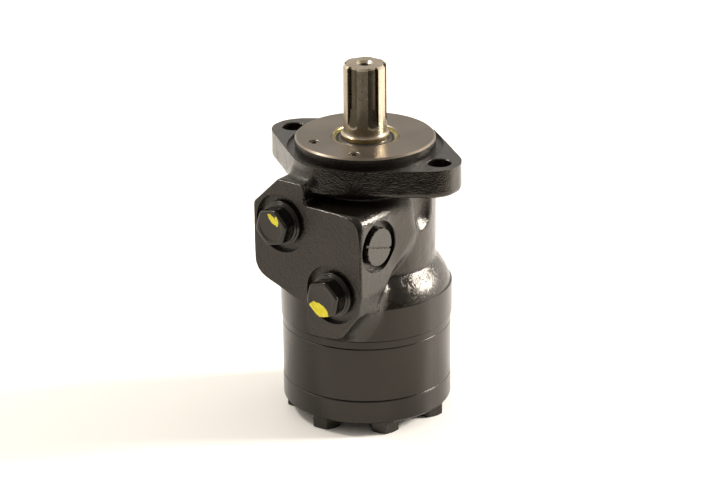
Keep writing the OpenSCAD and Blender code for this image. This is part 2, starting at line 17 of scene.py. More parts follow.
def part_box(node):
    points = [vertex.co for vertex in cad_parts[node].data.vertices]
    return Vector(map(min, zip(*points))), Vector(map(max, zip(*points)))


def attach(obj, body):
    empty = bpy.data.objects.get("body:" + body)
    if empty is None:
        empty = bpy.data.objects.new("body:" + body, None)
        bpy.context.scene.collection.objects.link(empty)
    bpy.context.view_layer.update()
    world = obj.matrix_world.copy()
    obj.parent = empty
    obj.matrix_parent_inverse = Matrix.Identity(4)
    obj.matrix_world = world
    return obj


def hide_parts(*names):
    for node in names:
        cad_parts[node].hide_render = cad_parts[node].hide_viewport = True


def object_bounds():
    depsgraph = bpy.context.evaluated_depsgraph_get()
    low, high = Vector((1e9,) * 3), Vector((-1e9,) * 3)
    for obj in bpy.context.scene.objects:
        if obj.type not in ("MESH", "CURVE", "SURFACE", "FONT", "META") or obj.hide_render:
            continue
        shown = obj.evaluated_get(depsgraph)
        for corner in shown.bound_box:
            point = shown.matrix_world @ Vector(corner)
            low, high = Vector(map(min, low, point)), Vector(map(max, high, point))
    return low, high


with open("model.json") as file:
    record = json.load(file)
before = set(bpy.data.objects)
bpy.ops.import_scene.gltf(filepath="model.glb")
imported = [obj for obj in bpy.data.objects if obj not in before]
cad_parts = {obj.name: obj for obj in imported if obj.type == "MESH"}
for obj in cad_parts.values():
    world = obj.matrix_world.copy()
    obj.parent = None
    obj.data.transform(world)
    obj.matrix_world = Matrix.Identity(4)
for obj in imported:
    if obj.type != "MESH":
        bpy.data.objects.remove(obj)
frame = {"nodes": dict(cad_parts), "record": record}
cad_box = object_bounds()
nodes = frame["nodes"]
mounts = {m["name"]: m for m in frame["record"]["mounts"]}

MM = 0.001
BODY = "motor_body"


def node_box_mm(name):
    """A CAD node's lowest and highest corners, in millimetres."""
    low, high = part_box(name)
    return np.array(low) / MM, np.array(high) / MM


# ---------------------------------------------------------------- dimensions, in millimetres
housing_low, housing_high = node_box_mm("housing")
PILOT_R = mounts["pilot"]["dims"]["r_mm"]
BOLT_X = mounts["flange_bolts"]["dims"]["spacing_x_mm"] / 2
BOLT_R = mounts["flange_bolts"]["dims"]["hole_r_mm"]
PORT_A = np.array(mounts["port_a"]["pos_m"]) / MM
PORT_B = np.array(mounts["port_b"]["pos_m"]) / MM
DRAIN = np.array(mounts["drain_port"]["pos_m"]) / MM
PILOT_TOP = housing_high[2]
BASE_Z = housing_low[2]
PORT_FACE_Y = housing_low[1]
FLANGE_END_R = housing_high[0]
FLANGE_T = 17.0
FLANGE_SIDE = 46.2
FLANGE_SIDE_ANGLE = math.radians(53.5)
FLANGE_FRONT = 50.8
GROOVE_R = 45.8  # outer radius of the shallow groove round the pilot
GROOVE_DEPTH = 1.5
NECK_R = 41.4
BODY_R = 51.0
SHOULDER_TOP = -68.2
SHOULDER_H = 20.0
SHOULDER_SHORT = 0.35  # how far the cast shoulder stays inside the turned body
TURNED_TOP = -84.0
SLOT_R = 16.5
SLOT_Z = -32.5
SIDE_FACE_X = 39.5
BLOCK_OUTLINE = [  # x, z and corner radius, seen from the ports' side
    (-38.5, -26.0, 4), (-20.0, -8.2, 5), (-1.0, -8.2, 2.5), (-1.0, -20.3, 2),
    (SIDE_FACE_X, -20.3, 8), (SIDE_FACE_X, -69.0, 12), (36.9, -81.6, 4), (24.0, -98.5, 8),
    (-0.6, -101.5, 6), (-0.6, -83.0, 4), (-38.5, -69.5, 13),
]
BALL_CORNER = (38.0, -21.0)  # x and z of the corner that the pattern rounds most
BLOCK_UNDER = (-39.5, -79.5)  # y and z where the block's underside starts to rise
BLOCK_RISE = (-21.5, -59.0)  # y and z where it meets the neck
FACE_STOCK = 0.5  # metal that milling takes off the port face
PORT_RECESS_R = 17.75
PORT_BORE_R = 9.3
PORT_DEPTH = 16
DRAIN_RECESS_R = 15.5
DRAIN_BORE_R = 5.8
DRAIN_DEPTH = 14
CHECK_PLACES = [(-17.0, -27.0), (14.3, -29.6)]
CHECK_BORE_R = 3.0
CHECK_MOUTH_R = 4.4
CHECK_FLOOR_Z = -9
SEAL_BORE_R = 20.0
SEAL_FLOOR_Z = -4.5
SHELF_BORE_R = 14.3  # bore of the shelf between the seal and the spool
SPOOL_TOP_Z = -10.0
SHAFT_TOP = node_box_mm("output_shaft")[1][2]
SPLINE_R = 12.7
THREAD_BORE_R = 3.38
THREAD_CREST_R = 3.05
THREAD_PITCH = 1.25
THREAD_LOW, THREAD_HIGH = SHAFT_TOP - 16.0, SHAFT_TOP - 2.0
MOUTH_TOP_R, MOUTH_LOW_R, MOUTH_DEPTH = 6.1, 4.2, 3.3  # the CAD's countersink, which the lip fills
LIP_CHAMFER = 1.7
LIP_GAP = 0.02  # between the lip and the countersink


# ---------------------------------------------------------------- distance fields
def round_max(a, b, r):
    """Where both solids are, with an outside edge of radius r."""
    u, v = np.maximum(r + a, 0), np.maximum(r + b, 0)
    return np.minimum(-r, np.maximum(a, b)) + np.hypot(u, v)


def round_min(a, b, r):
    """Where either solid is, with a fillet of radius r between them."""
    u, v = np.maximum(r - a, 0), np.maximum(r - b, 0)
    return np.maximum(r, np.minimum(a, b)) - np.hypot(u, v)


def rounded_outline(corners, steps=8):
    """An outline of (x, z, radius) corners, with each corner drawn as an arc."""
    out = []
    for i, (x, z, r) in enumerate(corners):
        at = np.array([x, z])
        back = np.array(corners[i - 1][:2]) - at
        ahead = np.array(corners[(i + 1) % len(corners)][:2]) - at
        back, ahead = back / np.linalg.norm(back), ahead / np.linalg.norm(ahead)
        half = math.acos(float(back @ ahead)) / 2
        middle = (back + ahead) / np.linalg.norm(back + ahead)
        centre = at + middle * r / math.sin(half)
        first = at + back * r / math.tan(half) - centre
        last = at + ahead * r / math.tan(half) - centre
        sweep = math.atan2(first[0] * last[1] - first[1] * last[0], float(first @ last))
        for t in np.linspace(0, sweep, steps):
            c, s = math.cos(t), math.sin(t)
            out.append(centre + [c * first[0] - s * first[1], s * first[0] + c * first[1]])
    return np.array(out)


def outline_distance(px, pz, points):
    """Signed distance from points to a closed outline; negative inside."""
    best = np.full(np.broadcast(px, pz).shape, 1e9)
    sign = np.ones_like(best)
    for a, b in zip(points, np.roll(points, -1, 0)):
        e = b - a
        wx, wz = px - a[0], pz - a[1]
        t = np.clip((wx * e[0] + wz * e[1]) / (e @ e), 0, 1)
        best = np.minimum(best, (wx - t * e[0]) ** 2 + (wz - t * e[1]) ** 2)
        crosses = ((a[1] <= pz) & (b[1] > pz)) | ((a[1] > pz) & (b[1] <= pz))
        left = e[0] * wz - e[1] * wx > 0
        sign = np.where(crosses & (left == (b[1] > a[1])), -sign, sign)
    return sign * np.sqrt(best)


def barrel_radius(z):
    """Radius of the cast neck and shoulder at each height."""
    fine = np.arange(-120.0, 20.0, 0.25)
    down = np.clip((SHOULDER_TOP - fine) / SHOULDER_H, 0, 1)
    swell = BODY_R - SHOULDER_SHORT - NECK_R
    r = NECK_R + swell * np.sin(np.pi / 2 * down)
    kernel = np.exp(-np.linspace(-2.5, 2.5, 21) ** 2 / 2)
    r = np.convolve(np.pad(r, 10, "edge"), kernel / kernel.sum(), "valid")
    return np.interp(z, fine, r), np.interp(z, fine, np.gradient(r, 0.25))


def lumps(shape, step, wavelength, seed):
    """Smooth noise about one unit high, on a grid of that shape and step."""
    rng = np.random.default_rng(seed)
    n = [max(4, int(s * step / wavelength) + 4) for s in shape]
    grid = rng.standard_normal(n)
    for axis, size in enumerate(shape):
        at = np.arange(size) * step / wavelength + 1
        i = at.astype(int)
        t = at - i
        t = (t * t * (3 - 2 * t)).reshape([-1 if k == axis else 1 for k in range(3)])
        grid = np.take(grid, i, axis) * (1 - t) + np.take(grid, i + 1, axis) * t
    return grid


def cast_field(x, y, z):
    """Signed distance, in millimetres, to the casting before machining."""
    r = np.hypot(x, y)
    side = np.abs(x) * math.cos(FLANGE_SIDE_ANGLE) + np.abs(y) * math.sin(FLANGE_SIDE_ANGLE)
    flange = round_max(r - FLANGE_END_R, side - FLANGE_SIDE, 6)
    flange = round_max(flange, np.abs(y) - FLANGE_FRONT, 9)
    flange = round_max(flange, -FLANGE_T - z, 3.2)

    radius, slope = barrel_radius(z)
    barrel = (r - radius) / np.sqrt(1 + slope**2)
    over_slot = np.hypot(np.abs(x) - BOLT_X, y)
    slot = np.hypot(over_slot, np.minimum(z - SLOT_Z, 0)) - SLOT_R
    barrel = round_max(barrel, -slot, 1.1)

    shape = rounded_outline(BLOCK_OUTLINE)
    block = outline_distance(x[:, 0], z[0], shape)[:, None, :]
    near = np.exp(-((x - BALL_CORNER[0]) ** 2 + (z - BALL_CORNER[1]) ** 2) / 10**2)
    block = round_max(block, PORT_FACE_Y - FACE_STOCK - y, 2.0 + 3.0 * near)
    block = np.maximum(block, y + 10)
    run, rise = BLOCK_RISE[0] - BLOCK_UNDER[0], BLOCK_RISE[1] - BLOCK_UNDER[1]
    under = ((y - BLOCK_UNDER[0]) * rise - (z - BLOCK_UNDER[1]) * run) / math.hypot(run, rise)
    block = round_max(block, np.minimum(under, y - BLOCK_UNDER[0]), 3)

    fillet = np.interp(z, [-88, -70, -55, -30, -17], [3.2, 4, 8, 8, 4])
    fillet = fillet + np.interp(x, [5, 20], [0, 1]) * np.interp(z, [-80, -66], [8, 0])
    body = round_min(barrel, block, fillet)
    body = round_min(body, flange, np.interp(z, [-17, -12], [2.6, 5.5]))
    return np.maximum(body, np.maximum(z - PILOT_TOP - 1.5, BASE_Z + 0.6 - z))


def cast_skin(step):
    """The casting as a mesh, with the slight unevenness of a sand casting."""
    low = housing_low - 3 * step - [2.5, 2.5, 0]
    high = housing_high + 3 * step + 2.5
    count = np.ceil((high - low) / step).astype(int) + 1
    x, y, z = (
        (low[k] + step * np.arange(count[k])).reshape([-1 if i == k else 1 for i in range(3)])
        for k in range(3)
    )
    field = cast_field(x, y, z)
    uneven = 0.07 * lumps(field.shape, step, 6, 1) + 0.04 * lumps(field.shape, step, 2.8, 2)
    field = field + uneven * np.interp(z, [-84, -78], [0.12, 1])
    band = 3 * step
    grid = openvdb.FloatGrid(band)
    grid.copyFromArray(np.clip(field, -band, band).astype(np.float32))
    points, triangles, quads = grid.convertToPolygons(isovalue=0.0, adaptivity=0.0)
    points = (points * step + low) * MM
    faces = quads.tolist() + triangles.tolist()
    mesh = bpy.data.meshes.new("housing_cast")
    mesh.from_pydata(points.tolist(), [], faces)
    return mesh


# ---------------------------------------------------------------- mesh helpers
def new_object(name, mesh):
    obj = bpy.data.objects.new(name, mesh)
    bpy.context.scene.collection.objects.link(obj)
    return obj


def revolved(name, profile, segments=192, place=None):
    """A closed solid round Z from (radius, height) rows that start and end on the axis.

    A radius is a number, or one number for each segment.
    """
    bm = bmesh.new()
    turn = np.linspace(0, 2 * math.pi, segments, endpoint=False)
    rings = []
    for r, h in profile:
        if np.ndim(r) == 0 and r == 0:
            rings.append([bm.verts.new((0, 0, h * MM))])
        else:
            x, y = r * np.cos(turn) * MM, r * np.sin(turn) * MM
            rings.append([bm.verts.new((a, b, h * MM)) for a, b in zip(x, y)])
    for a, b in zip(rings, rings[1:]):
        for i in range(segments):
            j = (i + 1) % segments
            if len(a) == 1:
                bm.faces.new((a[0], b[j], b[i]))
            elif len(b) == 1:
                bm.faces.new((a[i], a[j], b[0]))
            else:
                bm.faces.new((a[i], a[j], b[j], b[i]))
    bmesh.ops.recalc_face_normals(bm, faces=bm.faces)
    mesh = bpy.data.meshes.new(name)
    bm.to_mesh(mesh)
    bm.free()
    if place is not None:
        mesh.transform(place)
    return mesh


def block_mesh(name, low, high):
    bm = bmesh.new()
    bmesh.ops.create_cube(bm, size=1)
    for v in bm.verts:
        v.co = Vector([(low[k] if v.co[k] < 0 else high[k]) * MM for k in range(3)])
    mesh = bpy.data.meshes.new(name)
    bm.to_mesh(mesh)
    bm.free()
    return mesh


def combine(target, mesh, operation):
    """Adds a closed mesh to target or cuts it away."""
    tool = new_object("tool", mesh)
    step = target.modifiers.new("combine", "BOOLEAN")
    step.operation = operation
    step.solver = "MANIFOLD"
    step.object = tool
    depsgraph = bpy.context.evaluated_depsgraph_get()
    made = bpy.data.meshes.new_from_object(target.evaluated_get(depsgraph))
    target.modifiers.clear()
    old = target.data
    target.data = made
    bpy.data.meshes.remove(old)
    bpy.data.objects.remove(tool)
    bpy.data.meshes.remove(mesh)


def along_y(x, y, z):
    """Placement that turns +Z towards -Y and moves to that point."""
    return Matrix.Translation(Vector((x, y, z)) * MM) @ Matrix.Rotation(math.pi / 2, 4, "X")


def along_x(x, y, z):
    """Placement that turns +Z towards +X and moves to that point."""
    return Matrix.Translation(Vector((x, y, z)) * MM) @ Matrix.Rotation(math.pi / 2, 4, "Y")


def recess_profile(recess_r, depth, bore_r, bore_depth, edge=0.35):
    """A stepped hole seen as a solid: recess, then bore, opening upwards from height 0."""
    return [(0, depth + 6), (recess_r + edge + 6, depth + 6), (recess_r, depth), (recess_r, 0),
            (bore_r + 0.8, 0), (bore_r, -0.8), (bore_r, -bore_depth), (0, -bore_depth)]


# ---------------------------------------------------------------- materials
class Nodes:
    """A short way to write a node material."""

    def __init__(self, name):
        self.material = bpy.data.materials.new(name)
        self.material.use_nodes = True
        self.tree = self.material.node_tree
        self.shader = self.tree.nodes["Principled BSDF"]

    def add(self, kind, **values):
        node = self.tree.nodes.new(kind)
        for key, value in values.items():
            if hasattr(node, key):
                setattr(node, key, value)
            else:
                node.inputs[key.replace("_", " ")].default_value = value
        return node

    def link(self, source, target):
        self.tree.links.new(source, target)

    def position(self, scale=(1, 1, 1)):
        """Object position in millimetres, stretched by scale."""
        coords = self.add("ShaderNodeTexCoord")
        mapping = self.add("ShaderNodeMapping")
        mapping.inputs["Scale"].default_value = [s / MM for s in scale]
        self.link(coords.outputs["Object"], mapping.inputs["Vector"])
        return mapping.outputs["Vector"]

    def noise(self, size, detail=2.0, rough=0.5, scale=(1, 1, 1), distortion=0.0):
        """Noise whose lumps are about size millimetres across."""
        node = self.add("ShaderNodeTexNoise", Scale=1.0 / size, Detail=detail, Roughness=rough,
                        Distortion=distortion)
        self.link(self.position(scale), node.inputs["Vector"])
        return node.outputs["Fac"]

    def ramp(self, value, low, high, stops=None):
        """value mapped from (0..1) stops to numbers or colours."""
        node = self.add("ShaderNodeMapRange")
        a, b = stops or (0.3, 0.7)
        node.inputs["From Min"].default_value = a
        node.inputs["From Max"].default_value = b
        node.inputs["To Min"].default_value = low
        node.inputs["To Max"].default_value = high
        self.link(value, node.inputs["Value"])
        return node.outputs["Result"]

    def mix(self, factor, a, b):
        """Colour between a and b by factor; each may be a colour or a socket."""
        node = self.add("ShaderNodeMix", data_type="RGBA")
        self.link(factor, node.inputs[0])
        for socket, value in ((node.inputs[6], a), (node.inputs[7], b)):
            if isinstance(value, bpy.types.NodeSocket):
                self.link(value, socket)
            else:
                socket.default_value = (*value, 1)
        return node.outputs[2]

    def math(self, operation, a, b):
        node = self.add("ShaderNodeMath", operation=operation)
        for socket, value in ((node.inputs[0], a), (node.inputs[1], b)):
            if isinstance(value, bpy.types.NodeSocket):
                self.link(value, socket)
            else:
                socket.default_value = value
        return node.outputs[0]

    def radius(self, centre=(0, 0)):
        """Distance from the Z axis through centre, in millimetres."""
        parts = self.add("ShaderNodeSeparateXYZ")
        self.link(self.position(), parts.inputs[0])
        x = self.math("SUBTRACT", parts.outputs[0], centre[0])
        y = self.math("SUBTRACT", parts.outputs[1], centre[1])
        return self.math("SQRT", self.math("ADD", self.math("MULTIPLY", x, x),
                                           self.math("MULTIPLY", y, y)), 0)

    def bump(self, *layers):
        """Stacks (height, depth in millimetres, strength) layers onto the shader's normal."""
        normal = None
        for height, depth, strength in layers:
            node = self.add("ShaderNodeBump", Strength=strength, Distance=depth * MM)
            self.link(height, node.inputs["Height"])
            if normal is not None:
                self.link(normal, node.inputs["Normal"])
            normal = node.outputs["Normal"]
        self.link(normal, self.shader.inputs["Normal"])

    def set(self, **values):
        for key, value in values.items():
            socket = self.shader.inputs[key.replace("_", " ")]
            if isinstance(value, bpy.types.NodeSocket):
                self.link(value, socket)
            else:
                socket.default_value = value
        return self


WARM_GLOSS = (1.0, 0.92, 0.82, 1)  # tint of the enamel's reflections, from a film of oil


def cast_enamel():
    """Glossy black enamel that has flowed over a rough sand casting."""
    m = Nodes("cast_enamel")
    pebbles = m.noise(0.85, 1.5, 0.5)
    hollows = m.noise(2.6, 2, 0.5)
    m.set(Base_Color=m.mix(m.ramp(m.noise(6, 4, 0.6), 0, 1, (0.5, 0.78)),
                           (0.0040, 0.0032, 0.0025), (0.0090, 0.0073, 0.0057)),
          Roughness=m.ramp(m.noise(22, 3, 0.6), 0.10, 0.16), Specular_Tint=WARM_GLOSS)
    m.bump((hollows, 0.09, 1.0), (pebbles, 0.24, 1.0))
    return m.material


def faced_enamel():
    """The same enamel over a milled face."""
    m = Nodes("faced_enamel")
    peel = m.noise(0.95, 2, 0.5)
    lay = m.noise(0.8, 2, 0.5, scale=(1, 1, 0.2))
    m.set(Base_Color=m.mix(m.ramp(m.noise(9, 4, 0.6), 0, 1, (0.45, 0.8)),
                           (0.0078, 0.0063, 0.0050), (0.0125, 0.0102, 0.0082)),
          Roughness=m.ramp(m.noise(16, 3, 0.6), 0.20, 0.28), Specular_Tint=WARM_GLOSS)
    m.bump((m.noise(5, 2, 0.5), 0.10, 0.9), (peel, 0.30, 1.0), (lay, 0.12, 0.9))
    return m.material


def turned_enamel():
    """Satin enamel over a turned surface, with its fine feed lines."""
    m = Nodes("turned_enamel")
    lines = m.noise(0.42, 1, 0.4, scale=(0.004, 0.004, 1))
    runs = m.noise(2.6, 3, 0.5, scale=(1, 1, 0.12))
    peel = m.noise(1.8, 3, 0.5)
    m.set(Base_Color=m.mix(m.ramp(m.noise(12, 4, 0.6, scale=(1, 1, 0.5)), 0, 1, (0.4, 0.8)),
                           (0.0042, 0.0033, 0.0026), (0.0084, 0.0067, 0.0053)),
          Roughness=m.ramp(m.noise(18, 3, 0.6), 0.20, 0.28), Specular_Tint=WARM_GLOSS,
          Specular_IOR_Level=0.43)
    m.bump((runs, 0.05, 0.6), (peel, 0.04, 0.8), (lines, 0.012, 0.4))
    return m.material


def faced_iron():
    """The machined top of the flange and pilot, thinly oiled and dusted with overspray."""
    m = Nodes("faced_iron")
    marks = m.add("ShaderNodeTexNoise", noise_dimensions="1D", Scale=1.0, Detail=3.0)
    m.link(m.math("MULTIPLY", m.radius(), 2.6), marks.inputs["W"])
    grain = m.noise(0.5, 2, 0.6)
    specks = m.ramp(m.noise(0.9, 3, 0.7), 0, 1, (0.66, 0.72))
    base = m.mix(m.ramp(m.noise(14, 4, 0.6), 0, 1, (0.35, 0.7)),
                 (0.150, 0.125, 0.096), (0.195, 0.164, 0.128))
    base = m.mix(m.ramp(marks.outputs["Fac"], 0, 0.35, (0.4, 0.75)), base, (0.115, 0.097, 0.076))
    m.set(Base_Color=m.mix(specks, base, (0.05, 0.045, 0.038)), Metallic=0.85,
          Roughness=m.ramp(m.noise(7, 3, 0.6), 0.31, 0.42))
    m.bump((marks.outputs["Fac"], 0.03, 0.5), (grain, 0.012, 0.35))
    return m.material


def ground_steel():
    """The output shaft: ground steel with fine lines, and painted shade darkening the spline's
    grooves.
    """
    m = Nodes("ground_steel")
    lines = m.noise(0.28, 2, 0.5, scale=(0.02, 0.02, 1))
    stain = m.noise(7, 4, 0.65, scale=(1, 1, 0.3))
    base = m.mix(m.ramp(stain, 0, 1, (0.35, 0.75)),
                 (0.43, 0.37, 0.285), (0.30, 0.24, 0.165))
    place = m.add("ShaderNodeSeparateXYZ")
    m.link(m.position(), place.inputs[0])
    # Painted shade: below the spline's crests, and not on the end face, the base colour goes nearly
    # black.
    below_crest = m.ramp(m.radius(), 1, 0, (SPLINE_R - 0.5, SPLINE_R - 0.15))
    below_end = m.ramp(place.outputs[2], 1, 0, (SHAFT_TOP - 1.4, SHAFT_TOP - 1.2))
    groove_shade = m.math("MULTIPLY", below_crest, below_end)
    m.set(Base_Color=m.mix(groove_shade, base, (0.085, 0.072, 0.050)),
          Metallic=1.0, Roughness=m.ramp(m.noise(3, 4, 0.6), 0.24, 0.36))
    m.bump((m.noise(3, 2, 0.5, scale=(1, 1, 0.2)), 0.02, 0.4), (lines, 0.012, 0.4))
    return m.material


def oiled_thread():
    """Dark cut steel with oil in it."""
    m = Nodes("oiled_thread")
    m.set(Base_Color=m.mix(m.noise(1.2, 3, 0.6), (0.035, 0.028, 0.020), (0.085, 0.070, 0.052)),
          Metallic=0.8, Roughness=m.ramp(m.noise(0.8, 3, 0.6), 0.25, 0.42))
    m.bump((m.noise(0.3, 2, 0.5), 0.008, 0.4))
    return m.material


def bright_steel():
    m = Nodes("bright_steel")
    m.set(Base_Color=m.mix(m.noise(5, 3, 0.5), (0.56, 0.54, 0.51), (0.68, 0.66, 0.63)),
          Metallic=1.0, Roughness=m.ramp(m.noise(2, 3, 0.6), 0.12, 0.22))
    m.bump((m.noise(0.4, 2, 0.5), 0.004, 0.3))
    return m.material


def gear_steel():
    m = Nodes("gear_steel")
    m.set(Base_Color=m.mix(m.noise(6, 3, 0.6), (0.36, 0.35, 0.34), (0.46, 0.45, 0.43)),
          Metallic=1.0, Roughness=m.ramp(m.noise(3, 3, 0.6), 0.25, 0.36))
    m.bump((m.noise(0.35, 2, 0.5, scale=(1, 1, 0.1)), 0.006, 0.35))
    return m.material


def dark_steel():
    m = Nodes("dark_steel")
    m.set(Base_Color=m.mix(m.noise(2, 3, 0.6), (0.20, 0.18, 0.15), (0.34, 0.31, 0.265)),
          Metallic=0.95, Roughness=m.ramp(m.noise(1.5, 3, 0.6), 0.24, 0.38))
    m.bump((m.noise(0.4, 2, 0.5), 0.01, 0.4))
    return m.material


def yellow_zinc():
    """Passivated zinc: yellow, with faint green and brown drifts."""
    m = Nodes("yellow_zinc")
    m.set(Base_Color=m.mix(m.ramp(m.noise(3, 3, 0.6), 0, 1),
                           (0.17, 0.13, 0.038), (0.29, 0.235, 0.088)),
          Metallic=1.0, Roughness=m.ramp(m.noise(1.5, 3, 0.6), 0.22, 0.36))
    m.bump((m.noise(0.4, 2, 0.5), 0.006, 0.3))
    return m.material


def bearing_brass():
    m = Nodes("bearing_brass")
    m.set(Base_Color=m.mix(m.noise(3, 3, 0.6), (0.66, 0.48, 0.22), (0.74, 0.58, 0.32)),
          Metallic=1.0, Roughness=m.ramp(m.noise(2, 3, 0.6), 0.22, 0.34))
    m.bump((m.noise(0.4, 2, 0.5), 0.006, 0.3))
    return m.material


def seal_rubber():
    m = Nodes("seal_rubber")
    m.set(Base_Color=m.mix(m.noise(2, 3, 0.6), (0.010, 0.009, 0.008), (0.024, 0.021, 0.017)),
          Roughness=m.ramp(m.noise(1.5, 3, 0.6), 0.30, 0.52), Specular_Tint=WARM_GLOSS)
    m.bump((m.noise(0.5, 3, 0.6), 0.02, 0.5))
    return m.material


def moulded_plastic(name="moulded_plastic", daubs=()):
    """Black polyethylene with a moulded grain, and yellow daubs of paint on a head that faces -Y.

    Each daub is an ellipse: centre x and z, half length, half width, and turn in degrees.
    """
    m = Nodes(name)
    colour = m.mix(m.noise(5, 3, 0.6), (0.0060, 0.0053, 0.0046), (0.0105, 0.0094, 0.0083))
    rough = m.ramp(m.noise(4, 3, 0.6), 0.17, 0.27)
    layers = [(m.noise(3.5, 2, 0.5), 0.06, 0.5), (m.noise(0.5, 2, 0.5), 0.014, 0.5)]
    if daubs:
        place = m.add("ShaderNodeSeparateXYZ")
        m.link(m.position(), place.inputs[0])
        ragged = m.math("MULTIPLY", m.math("SUBTRACT", m.noise(1.3, 3, 0.6), 0.5), 1.1)
        cover = None
        for x, z, long, wide, turn in daubs:
            c, s = math.cos(math.radians(turn)), math.sin(math.radians(turn))
            dx = m.math("SUBTRACT", place.outputs[0], x)
            dz = m.math("SUBTRACT", place.outputs[2], z)
            u = m.math("ADD", m.math("MULTIPLY", dx, c / long), m.math("MULTIPLY", dz, s / long))
            v = m.math("ADD", m.math("MULTIPLY", dx, -s / wide), m.math("MULTIPLY", dz, c / wide))
            far = m.math("ADD", m.math("MULTIPLY", u, u), m.math("MULTIPLY", v, v))
            inside = m.math("SUBTRACT", 1.0, far)
            cover = inside if cover is None else m.math("MAXIMUM", cover, inside)
        mask = m.ramp(m.math("ADD", cover, ragged), 0, 1, (-0.04, 0.04))
        paint = m.mix(m.ramp(m.noise(2.4, 4, 0.6), 0, 1), (0.70, 0.60, 0.012), (0.86, 0.76, 0.03))
        colour = m.mix(mask, colour, paint)
        rough = m.math("ADD", rough, m.math("MULTIPLY", mask, 0.12))
        layers.insert(0, (mask, 0.10, 0.6))
    m.set(Base_Color=colour, Roughness=rough, Specular_Tint=WARM_GLOSS)
    m.bump(*layers)
    return m.material


def worn_plastic():
    """The drain plug's face: the same plastic, scuffed where it was screwed in."""
    m = Nodes("worn_plastic")
    scuffs = m.noise(2.2, 4, 0.65, scale=(1, 0.35, 1))
    m.set(Base_Color=m.mix(m.noise(3, 3, 0.6), (0.0075, 0.0064, 0.0053), (0.0150, 0.0130, 0.0108)),
          Roughness=m.ramp(m.noise(2, 4, 0.6), 0.18, 0.32), Specular_Tint=WARM_GLOSS)
    m.bump((scuffs, 0.16, 0.9), (m.noise(0.7, 3, 0.6), 0.06, 0.8))
    return m.material


def bolt_enamel():
    m = Nodes("bolt_enamel")
    m.set(Base_Color=m.mix(m.ramp(m.noise(2.5, 4, 0.6), 0, 1, (0.5, 0.75)),
                           (0.005, 0.0044, 0.0038), (0.018, 0.016, 0.013)),
          Roughness=m.ramp(m.noise(3, 3, 0.6), 0.22, 0.34), Specular_Tint=WARM_GLOSS)
    m.bump((m.noise(0.9, 3, 0.5), 0.05, 0.6))
    return m.material


FINISH = {
    "black_enamel": cast_enamel(),
    "black_turned": turned_enamel(),
    "bolt_steel": bolt_enamel(),
    "shaft_steel": ground_steel(),
    "bright_steel": bright_steel(),
    "gear_steel": gear_steel(),
    "dark_steel": dark_steel(),
    "yellow_zinc": yellow_zinc(),
    "bearing_brass": bearing_brass(),
    "seal_rubber": seal_rubber(),
    "black_plastic": moulded_plastic(),
}
for part in frame["record"]["subparts"]:
    obj = nodes[part["node"]]
    obj.data.materials.clear()
    obj.data.materials.append(FINISH[part["material_slot"]])
nodes["drain_plug"].data.materials[0] = worn_plastic()


# ---------------------------------------------------------------- housing
def machine(housing):
    """Turns, mills and drills the casting."""
    combine(housing, revolved("turned_body", [
        (0, TURNED_TOP), (BODY_R - 0.5, TURNED_TOP), (BODY_R, TURNED_TOP - 0.5),
        (BODY_R, BASE_Z + 0.4), (BODY_R - 0.4, BASE_Z), (0, BASE_Z)], 256), "UNION")
    combine(housing, revolved("top_tool", [
        (0, PILOT_TOP), (PILOT_R - 1, PILOT_TOP), (PILOT_R, PILOT_TOP - 1),
        (PILOT_R, -GROOVE_DEPTH), (GROOVE_R, -GROOVE_DEPTH), (GROOVE_R, 0),
        (90, 0), (90, 30), (0, 30)], 256), "DIFFERENCE")
    combine(housing, block_mesh("face_mill", (-60, PORT_FACE_Y - 12, -115), (60, PORT_FACE_Y, 5)),
            "DIFFERENCE")
    combine(housing, revolved("bore_tool", [
        (0, PILOT_TOP + 1), (SEAL_BORE_R + 1.4, PILOT_TOP + 1), (SEAL_BORE_R, PILOT_TOP - 0.4),
        (SEAL_BORE_R, SEAL_FLOOR_Z), (SHELF_BORE_R, SEAL_FLOOR_Z), (SHELF_BORE_R, SPOOL_TOP_Z),
        (SEAL_BORE_R, SPOOL_TOP_Z), (SEAL_BORE_R, BASE_Z - 1), (0, BASE_Z - 1)], 160),
        "DIFFERENCE")
    for side in (-1, 1):
        combine(housing, revolved("bolt_drill", [
            (0, 1), (BOLT_R + 1.5, 1), (BOLT_R, -0.5), (BOLT_R, -FLANGE_T - 2), (0, -FLANGE_T - 2)],
            96, Matrix.Translation((side * BOLT_X * MM, 0, 0))), "DIFFERENCE")
    for x, y in CHECK_PLACES:
        combine(housing, revolved("check_drill", [
            (0, PILOT_TOP + 1), (CHECK_MOUTH_R, PILOT_TOP + 1), (CHECK_BORE_R, PILOT_TOP - 0.4),
            (CHECK_BORE_R, CHECK_FLOOR_Z), (0, CHECK_FLOOR_Z)],
            48, Matrix.Translation((x * MM, y * MM, 0))), "DIFFERENCE")
    for port in (PORT_A, PORT_B):
        combine(housing, revolved("port_tool", recess_profile(
            PORT_RECESS_R, port[1] - PORT_FACE_Y, PORT_BORE_R, PORT_DEPTH), 128, along_y(*port)),
            "DIFFERENCE")
    combine(housing, revolved("drain_tool", recess_profile(
        DRAIN_RECESS_R, SIDE_FACE_X - DRAIN[0], DRAIN_BORE_R, DRAIN_DEPTH), 128, along_x(*DRAIN)),
        "DIFFERENCE")


